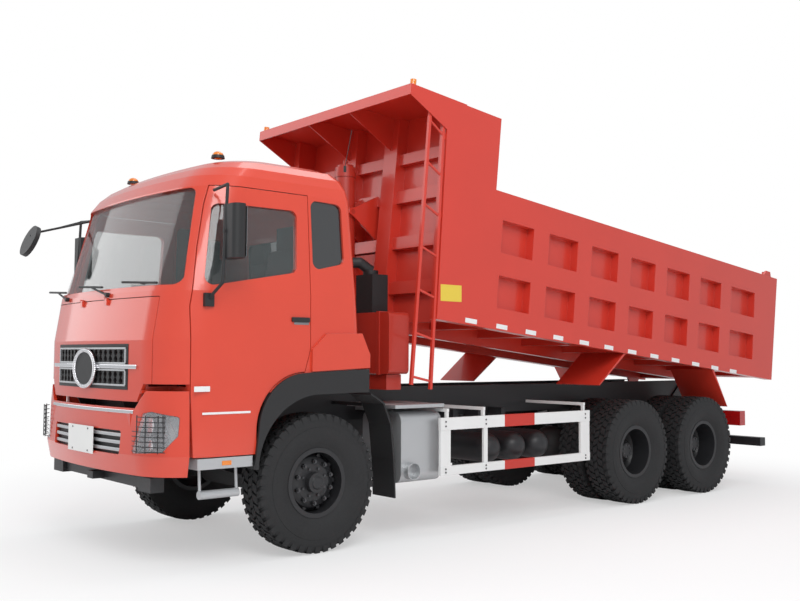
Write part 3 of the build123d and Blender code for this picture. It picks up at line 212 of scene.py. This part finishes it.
def add_rod(mesh, start, end, radius, sides=20, end_radius=None):
    """Round bar or cone between two points."""
    start, end = Vector(start), Vector(end)
    line = end - start
    made = bmesh.ops.create_cone(mesh, cap_ends=True, segments=sides, radius1=radius,
                                 radius2=radius if end_radius is None else end_radius,
                                 depth=line.length)["verts"]
    turn = line.to_track_quat("Z", "Y").to_matrix().to_4x4()
    bmesh.ops.transform(mesh, matrix=Matrix.Translation((start + end) / 2) @ turn, verts=made)
    return made


def add_path(mesh, points, radius, sides=12):
    """Bent round bar: rods with a ball at each bend."""
    for start, end in zip(points, points[1:]):
        add_rod(mesh, start, end, radius, sides)
    for corner in points[1:-1]:
        made = bmesh.ops.create_uvsphere(mesh, u_segments=sides, v_segments=8, radius=radius)["verts"]
        bmesh.ops.translate(mesh, vec=corner, verts=made)


def add_nut(mesh, at, axis, size, height):
    """Hexagon head standing on a face."""
    axis = Vector(axis).normalized()
    add_rod(mesh, Vector(at), Vector(at) + axis * height, size / 2 * 1.1547, sides=6)


def boxes(name, spans, look, body, bevel=0.002):
    """One piece made of several boxes."""
    mesh = bmesh.new()
    for low, high in spans:
        add_box(mesh, low, high)
    return finish_piece(name, mesh, look, body, bevel)


def rods(name, lines, look, body, sides=20):
    """One piece made of several round bars."""
    mesh = bmesh.new()
    for start, end, radius in lines:
        add_rod(mesh, start, end, radius, sides)
    piece = finish_piece(name, mesh, look, body)
    smooth_by_angle(piece)
    return piece


def smooth_by_angle(piece, angle=35):
    """Smooth shading that keeps the sharp edges."""
    mesh = piece.data
    for face in mesh.polygons:
        face.use_smooth = True
    mesh.set_sharp_from_angle(angle=math.radians(angle))


for item in frame["nodes"].values():
    smooth_by_angle(item, 28)


# Tyres with their tread, one visual mesh for each tyre node
TYRE_WIDTH = 0.315
HALF_TYRE = TYRE_WIDTH / 2
TYRE_STEPS = 96
LUG_COUNT = 42
LUG_TOP = TYRE_RADIUS - 0.0005
LUG_LOW = 0.533
LUG_EDGE = 0.13
# Rows of blocks as (middle across, width across, length along, shift of the angle, skew)
TREAD_ROWS = ((-0.123, 0.050, 0.050, 0.0, 0.010), (-0.062, 0.058, 0.062, 0.5, -0.012),
              (0.0, 0.052, 0.064, 0.0, 0.012), (0.062, 0.058, 0.062, 0.5, -0.012),
              (0.123, 0.050, 0.050, 0.0, 0.010))
# Side of the tyre, as (share of the half width, radius)
TYRE_SIDE = ((0.70, 0.268), (0.72, 0.284), (0.84, 0.312), (0.93, 0.345), (0.99, 0.385), (1.0, 0.415),
             (0.985, 0.446), (0.985, 0.450), (0.965, 0.452), (0.955, 0.482), (0.93, 0.508),
             (0.90, 0.528), (0.84, 0.5445), (0.5, 0.5455))
WHEELS = (
    # name, side, distance behind the front axle, middles of its tyres
    ("fl", 1, 0.0, (1.0185,)), ("fr", -1, 0.0, (1.0185,)),
    ("ml", 1, 4.2, (0.7365, 1.0875)), ("mr", -1, 4.2, (0.7365, 1.0875)),
    ("rl", 1, 5.53, (0.7365, 1.0875)), ("rr", -1, 5.53, (0.7365, 1.0875)),
)


def around(side, depth, axle_y, radius, angle):
    """Point of a wheel, that far from the truck's middle and at that radius and angle."""
    return Vector((side * depth, axle_y + radius * math.sin(angle), TYRE_RADIUS + radius * math.cos(angle)))


def tyre_mesh(middles, side, axle_y):
    """Carcass and tread blocks of one or two tyres."""
    mesh = bmesh.new()
    for middle in middles:
        ring_points = [(-x * HALF_TYRE, r) for x, r in TYRE_SIDE]
        ring_points += [(x * HALF_TYRE, r) for x, r in reversed(TYRE_SIDE)]
        rings = []
        for number in range(TYRE_STEPS):
            angle = math.tau * number / TYRE_STEPS
            rings.append([mesh.verts.new(around(side, middle + x, axle_y, r, angle))
                          for x, r in ring_points])
        count = len(ring_points)
        for number in range(TYRE_STEPS):
            here, there = rings[number], rings[(number + 1) % TYRE_STEPS]
            for k in range(count):
                mesh.faces.new((here[k], here[(k + 1) % count], there[(k + 1) % count], there[k]))
        for across, width, length, shift, skew in TREAD_ROWS:
            for number in range(LUG_COUNT):
                angle = math.tau * (number + shift) / LUG_COUNT
                made = add_box(mesh, (across - width / 2, -length / 2, LUG_LOW),
                               (across + width / 2, length / 2, LUG_TOP))
                for vert in made:
                    vert.co.y += skew if vert.co.x > across else -skew
                    # The outer blocks lean over the shoulder of the tyre
                    if abs(vert.co.x) > LUG_EDGE:
                        high = vert.co.z > LUG_LOW + 0.01
                        vert.co.x = math.copysign(0.143 if high else 0.1505, across)
                        vert.co.z -= 0.004 if high else 0.030
                turn = Matrix.Rotation(-angle, 4, "X")
                shift_to = Matrix.Translation((side * middle, axle_y, TYRE_RADIUS))
                bmesh.ops.transform(mesh, matrix=shift_to @ turn, verts=made)
    return mesh


for name, side, back, middles in WHEELS:
    tyre = finish_piece(f"tread_tyre_{name}", tyre_mesh(middles, side, behind(back)), "tyre_rubber",
                        f"wheel_{name}")
    smooth_by_angle(tyre, 40)
    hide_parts(f"tyre_{name}")

# Wheel nuts, hub bolts, hub caps and studs of the rims
NUT_COUNT = 10
HUB_BOLT_COUNT = 8
STUD_COUNT = 10
STUD_CIRCLE = 0.218
for name, side, back, middles in WHEELS:
    twin = len(middles) == 2
    centre = sum(middles) / len(middles)
    axle_y = behind(back)
    # Where each ring of fasteners sits, outwards from the middle of the wheel
    face, nut_circle = (centre + 0.014, 0.150) if twin else (centre + 0.052, 0.1675)
    hub_face, hub_circle = (centre + 0.170, 0.065) if twin else (centre + 0.060, 0.115)
    stud_face = centre + (0.038 if twin else 0.030)
    outwards = Vector((side, 0, 0))
    mesh = bmesh.new()
    for number in range(NUT_COUNT):
        spot = around(side, face, axle_y, nut_circle, math.tau * number / NUT_COUNT)
        add_nut(mesh, spot, outwards, 0.034, 0.030)
        add_rod(mesh, spot, spot + outwards * 0.045, 0.011, 10)
    for number in range(HUB_BOLT_COUNT):
        spot = around(side, hub_face, axle_y, hub_circle, math.tau * (number + 0.5) / HUB_BOLT_COUNT)
        add_nut(mesh, spot, outwards, 0.020, 0.014)
    finish_piece(f"wheel_nuts_{name}", mesh, "dark_steel", f"wheel_{name}")
    mesh = bmesh.new()
    if not twin:
        for low, high, radius, end_radius in ((0.055, 0.115, 0.085, 0.080), (0.114, 0.127, 0.055, 0.045)):
            add_rod(mesh, (side * (centre + low), axle_y, TYRE_RADIUS),
                    (side * (centre + high), axle_y, TYRE_RADIUS), radius, 40, end_radius)
    for number in range(STUD_COUNT):
        spot = around(side, stud_face, axle_y, STUD_CIRCLE, math.tau * (number + 0.5) / STUD_COUNT)
        add_rod(mesh, spot - outwards * 0.02, spot + outwards * 0.002, 0.017, 20)
    smooth_by_angle(finish_piece(f"wheel_cap_{name}", mesh, "wheel_black", f"wheel_{name}"))

# Handles and mirror faces of the doors
for name, side in (("l", 1), ("r", -1)):
    body = f"door_{name}"
    boxes(f"door_handle_{name}",
          [((side * 1.214, behind(-0.325), 1.855), (side * 1.236, behind(-0.155), 1.893))],
          "trim_black", body, bevel=0.006)
    boxes(f"door_handle_cup_{name}",
          [((side * 1.216, behind(-0.30), 1.835), (side * 1.2235, behind(-0.16), 1.858))],
          "inner_grey", body)
    boxes(f"mirror_face_{name}",
          [((side * 1.315, behind(-0.9045), 2.315), (side * 1.485, behind(-0.9025), 2.685))],
          "mirror_face", body, bevel=0.004)

# Trim of the cab's front
BOW = 0.08


def add_bowed(mesh, low_x, high_x, front, low_z, high_z, depth, steps=16):
    """Bar that follows the bow of the cab's front."""
    rings = []
    for number in range(steps + 1):
        x = low_x + (high_x - low_x) * number / steps
        y = behind(front + BOW * x * x)
        corners = ((y, low_z), (y, high_z), (y + depth, high_z), (y + depth, low_z))
        rings.append([mesh.verts.new((x, at, z)) for at, z in corners])
    for here, there in zip(rings, rings[1:]):
        for k in range(4):
            mesh.faces.new((here[k], here[(k + 1) % 4], there[(k + 1) % 4], there[k]))
    mesh.faces.new(rings[0])
    mesh.faces.new(reversed(rings[-1]))


def bowed(name, spans, look, body, bevel=0.002):
    """One piece made of several bowed bars, as (low x, high x, front, low z, high z, depth)."""
    mesh = bmesh.new()
    for span in spans:
        add_bowed(mesh, *span)
    return finish_piece(name, mesh, look, body, bevel=bevel)


# Blank ring in the middle of the grille, and the bar behind it
RING_HALF_WIDTH = 0.200
RING_HALF_HEIGHT = 0.145
RING_Z = 1.480
RING_Y = behind(-1.492)
mesh = bmesh.new()
RING_STEPS = 64
ring_path = [Vector((RING_HALF_WIDTH * math.sin(math.tau * k / RING_STEPS), RING_Y,
                     RING_Z + RING_HALF_HEIGHT * math.cos(math.tau * k / RING_STEPS)))
             for k in range(RING_STEPS)]
for start, end in zip(ring_path, ring_path[1:] + ring_path[:1]):
    add_rod(mesh, start, end, 0.017, 12)
finish_piece("grille_ring", mesh, "chrome_trim", "front_lid", smooth=True)
mesh = bmesh.new()
disc = bmesh.ops.create_cone(mesh, cap_ends=True, segments=64, radius1=1.0, radius2=1.0, depth=1.0)["verts"]
bmesh.ops.transform(mesh, verts=disc, matrix=Matrix.Translation((0, behind(-1.484), RING_Z))
                    @ Matrix.Diagonal((RING_HALF_WIDTH, 0.014, RING_HALF_HEIGHT, 1))
                    @ Matrix.Rotation(math.pi / 2, 4, "X"))
finish_piece("grille_ring_face", mesh, "trim_black", "front_lid")
bowed("grille_bar", [(-0.80, -0.19, -1.484, 1.484, 1.516, 0.018), (0.19, 0.80, -1.484, 1.484, 1.516, 0.018)],
      "chrome_trim", "front_lid", bevel=0.005)
frames = []
for low, high in ((1.352, 1.480), (1.518, 1.646)):
    for edge in (low, high - 0.014):
        frames.append((-0.650, 0.650, -1.478, edge, edge + 0.014, 0.010))
    for side in (-1, 1):
        ends = sorted((side * 0.636, side * 0.650))
        frames.append((*ends, -1.478, low, high, 0.010, 2))
bowed("grille_frames", frames, "silver_paint", "front_lid")

# Bumper: strip on its top edge, bars and dark backing in its opening, blank plate
bowed("bumper_strip", [(-0.785, 0.785, -1.489, 1.152, 1.178, 0.012)],
      "chrome_trim", "chassis", bevel=0.003)
bowed("bumper_bars", [(-0.635, 0.635, -1.492, z, z + 0.026, 0.020) for z in (0.862, 0.918, 0.974)],
      "silver_paint", "chassis", bevel=0.004)
bowed("bumper_backing", [(-0.650, 0.650, -1.466, 0.836, 1.026, 0.004)],
      "trim_black", "chassis", bevel=0)
boxes("bumper_plate", [((-0.245, behind(-1.514), 0.818), (0.245, behind(-1.507), 1.030))], "plate_blank",
      "chassis")
rods("bumper_plate_bolts",
     [((x, behind(-1.514), z), (x, behind(-1.5175), z), 0.007)
      for x in (-0.15, 0.15) for z in (0.838, 1.010)],
     "dark_steel", "chassis")

# Headlamps: bowls and backing behind the lens, wire guards in front
GUARD_WIRES = 8
for name, side in (("l", 1), ("r", -1)):
    mesh = bmesh.new()
    for x, z, size in ((0.945, 1.075, 0.062), (1.030, 0.985, 0.050), (0.955, 0.930, 0.036)):
        y = behind(-1.496 + BOW * x * x + (0.050 if x < 0.98 else 0.085))
        add_rod(mesh, (side * x, y, z), (side * x, y + 0.045, z), size, 32, size * 0.45)
    smooth_by_angle(finish_piece(f"lamp_bowl_{name}", mesh, "chrome_trim", "chassis"))
    boxes(f"lamp_backing_{name}",
          [((side * 0.875, behind(-1.335), 0.885), (side * 1.080, behind(-1.325), 1.150))],
          "dash_plastic", "chassis")
    mesh = bmesh.new()
    for number in range(GUARD_WIRES):
        z = 0.885 + number * 0.036
        low_x = 0.835 if z < 1.03 else 0.900
        add_path(mesh, [(side * low_x, behind(-1.462), z), (side * 0.960, behind(-1.454), z),
                        (side * 1.060, behind(-1.408), z), (side * 1.130, behind(-1.345), z)], 0.0035, 8)
    for x, y in ((0.905, -1.460), (1.000, -1.438), (1.090, -1.383)):
        add_path(mesh, [(side * x, behind(y), 0.875), (side * x, behind(y), 1.150)], 0.004, 8)
    smooth_by_angle(finish_piece(f"lamp_guard_{name}", mesh, "frame_black", "chassis"))
    # Small lamp and strip on the door, reflector on the step
    boxes(f"door_lamp_{name}",
          [((side * 1.219, behind(-1.17), 1.322), (side * 1.2265, behind(-1.04), 1.362))],
          "patch_white", f"door_{name}", bevel=0.003)
    boxes(f"door_strip_{name}",
          [((side * 1.219, behind(-1.10), 1.153), (side * 1.2245, behind(-0.69), 1.170))],
          "patch_white", f"door_{name}")
    boxes(f"step_reflector_{name}",
          [((side * 1.221, behind(-0.93), 0.775), (side * 1.226, behind(-0.85), 0.808))],
          "amber", "chassis")

# Roof lamps and aerial
mesh = bmesh.new()
for x in (-0.776, 0.776):
    add_rod(mesh, (x, behind(-0.751), 3.165), (x, behind(-0.751), 3.190), 0.055, 32, 0.050)
smooth_by_angle(finish_piece("roof_lamp_feet", mesh, "trim_black", "cab"))
mesh = bmesh.new()
for x in (-0.776, 0.776):
    made = bmesh.ops.create_uvsphere(mesh, u_segments=24, v_segments=12, radius=0.045)["verts"]
    bmesh.ops.transform(mesh, verts=made, matrix=Matrix.Translation((x, behind(-0.751), 3.190))
                        @ Matrix.Diagonal((1, 1, 0.75, 1)))
finish_piece("roof_lamps", mesh, "amber", "cab", smooth=True)
rods("aerial", [((1.074, behind(0.30), 3.15), (1.074, behind(0.30), 3.20), 0.012),
                ((1.074, behind(0.30), 3.19), (1.090, behind(0.36), 3.52), 0.003)],
     "trim_black", "cab", sides=10)

# Side guards: red bands on the white rails
bands = [((side * 1.2105, behind(2.09), low), (side * 1.2455, behind(2.51), high))
         for side in (-1, 1) for low, high in ((0.928, 1.042), (0.528, 0.612))]
boxes("guard_bands", bands, "red_band", "chassis")
mesh = bmesh.new()
for side in (-1, 1):
    for back in (1.325, 1.837, 3.290):
        for z in (0.965, 1.005, 0.555, 0.585):
            add_nut(mesh, (side * 1.243, behind(back), z), (side, 0, 0), 0.014, 0.006)
finish_piece("guard_bolts", mesh, "dark_steel", "chassis")

# Bed: reflecting patches on the lower rail, yellow plate, lamps at the canopy's corners
PATCH_COUNT = 12
# Ends of the row of patches, as (distance behind the front axle, height)
start, end = Vector((1.439, 1.937)), Vector((6.359, 1.398))
along = end - start
slope = Matrix.Rotation(math.atan2(along.y, along.x), 4, "X")
mesh = bmesh.new()
for side in (-1, 1):
    for number in range(PATCH_COUNT):
        here = start.lerp(end, (number + 0.5) / PATCH_COUNT)
        made = add_box(mesh, (side * 1.2385, -0.075, -0.022), (side * 1.2425, 0.075, 0.022))
        bmesh.ops.transform(mesh, verts=made, matrix=Matrix.Translation((0, behind(here.x), here.y)) @ slope)
finish_piece("bed_patches", mesh, "patch_white", "bed", bevel=0.0015)
boxes("bed_plate", [((1.2385, behind(1.26), 2.085), (1.2425, behind(1.52), 2.235))], "patch_yellow", "bed")
rods("canopy_lamps", [((side * 1.200, behind(0.955), 3.985), (side * 1.200, behind(0.962), 4.048), 0.028)
                      for side in (-1, 1)], "amber", "bed")

# Camera at the photo's view
CAMERA_PLACE = Vector((7.492, -7.448, 1.596))
YAW, PITCH, ROLL = (math.radians(angle) for angle in (139.473, 3.288, 0.279))
camera_data = bpy.data.cameras.new("camera")
camera_data.sensor_width = 36
camera_data.lens = 42.95
camera = bpy.data.objects.new("camera", camera_data)
bpy.context.scene.collection.objects.link(camera)
aim = Vector((math.cos(PITCH) * math.cos(YAW), math.cos(PITCH) * math.sin(YAW), math.sin(PITCH)))
camera.location = CAMERA_PLACE
camera.rotation_mode = "QUATERNION"
camera.rotation_quaternion = aim.to_track_quat("-Z", "Y") @ Quaternion((0, 0, 1), ROLL)
bpy.context.scene.camera = camera

# Floor and light
FLOOR_REACH = 60
FLOOR_GREY = 0.88
# Distances from the truck's middle between which the floor turns plain white
FADE_START = 3.5
FADE_END = 7.5
NEAR_WHITE = 0.45
SKY_STRENGTH = 0.65


def seen_share(nodes, links):
    """Output that is 1 for rays seen straight from the camera or through glass."""
    rays = nodes.new("ShaderNodeLightPath")
    seen = nodes.new("ShaderNodeMath")
    seen.operation = "MAXIMUM"
    links.new(rays.outputs["Is Camera Ray"], seen.inputs[0])
    links.new(rays.outputs["Is Transmission Ray"], seen.inputs[1])
    return seen.outputs["Value"]


floor_mesh = bpy.data.meshes.new("floor")
corners = [(x * FLOOR_REACH, y * FLOOR_REACH, 0) for x, y in ((-1, -1), (1, -1), (1, 1), (-1, 1))]
floor_mesh.from_pydata(corners, [], [(0, 1, 2, 3)])
floor = bpy.data.objects.new("floor", floor_mesh)
bpy.context.scene.collection.objects.link(floor)
floor_look, nodes, links = new_material("floor")
shader = nodes["Principled BSDF"]
shader.inputs["Base Color"].default_value = (FLOOR_GREY, FLOOR_GREY, FLOOR_GREY, 1)
shader.inputs["Roughness"].default_value = 0.9
shader.inputs["Specular IOR Level"].default_value = 0.1
# The floor turns plain white away from the truck, and keeps the shadow near it
glow = nodes.new("ShaderNodeEmission")
glow.inputs["Color"].default_value = (1, 1, 1, 1)
glow.inputs["Strength"].default_value = 1.0
spot = nodes.new("ShaderNodeTexCoord")
distance = nodes.new("ShaderNodeVectorMath")
distance.operation = "LENGTH"
links.new(spot.outputs["Object"], distance.inputs[0])
fade = nodes.new("ShaderNodeMapRange")
fade.interpolation_type = "SMOOTHSTEP"
fade.inputs["From Min"].default_value = FADE_START
fade.inputs["From Max"].default_value = FADE_END
fade.inputs["To Min"].default_value = NEAR_WHITE
fade.inputs["To Max"].default_value = 1.0
links.new(distance.outputs["Value"], fade.inputs["Value"])
share = nodes.new("ShaderNodeMath")
share.operation = "MULTIPLY"
links.new(seen_share(nodes, links), share.inputs[0])
links.new(fade.outputs["Result"], share.inputs[1])
mix = nodes.new("ShaderNodeMixShader")
links.new(share.outputs["Value"], mix.inputs["Fac"])
links.new(shader.outputs["BSDF"], mix.inputs[1])
links.new(glow.outputs["Emission"], mix.inputs[2])
links.new(mix.outputs["Shader"], nodes["Material Output"].inputs["Surface"])
floor_mesh.materials.append(floor_look)

# Sky that lights the truck, and plain white where the camera sees it
bpy.context.scene.view_settings.view_transform = "Standard"
world = bpy.data.worlds.new("studio")
bpy.context.scene.world = world
world.use_nodes = True
nodes, links = world.node_tree.nodes, world.node_tree.links
sky = nodes["Background"]
sky.inputs["Color"].default_value = (0.95, 0.97, 1.0, 1)
sky.inputs["Strength"].default_value = SKY_STRENGTH
white = nodes.new("ShaderNodeBackground")
white.inputs["Color"].default_value = (1, 1, 1, 1)
white.inputs["Strength"].default_value = 1.0
mix = nodes.new("ShaderNodeMixShader")
links.new(seen_share(nodes, links), mix.inputs["Fac"])
links.new(sky.outputs["Background"], mix.inputs[1])
links.new(white.outputs["Background"], mix.inputs[2])
links.new(mix.outputs["Shader"], nodes["World Output"].inputs["Surface"])


def lamp(name, place, target, size, power):
    """Soft square lamp aimed at a point."""
    data = bpy.data.lights.new(name, "AREA")
    data.size = size
    data.energy = power
    item = bpy.data.objects.new(name, data)
    item.location = place
    item.rotation_mode = "QUATERNION"
    item.rotation_quaternion = (Vector(target) - Vector(place)).to_track_quat("-Z", "Y")
    bpy.context.scene.collection.objects.link(item)


lamp("key", (9, -7, 9), (0, 0, 1.5), 6, 700)
lamp("fill", (-9, -9, 6), (0, -2, 1.5), 8, 260)
lamp("top", (0, 2, 12), (0, 0, 1), 8, 400)
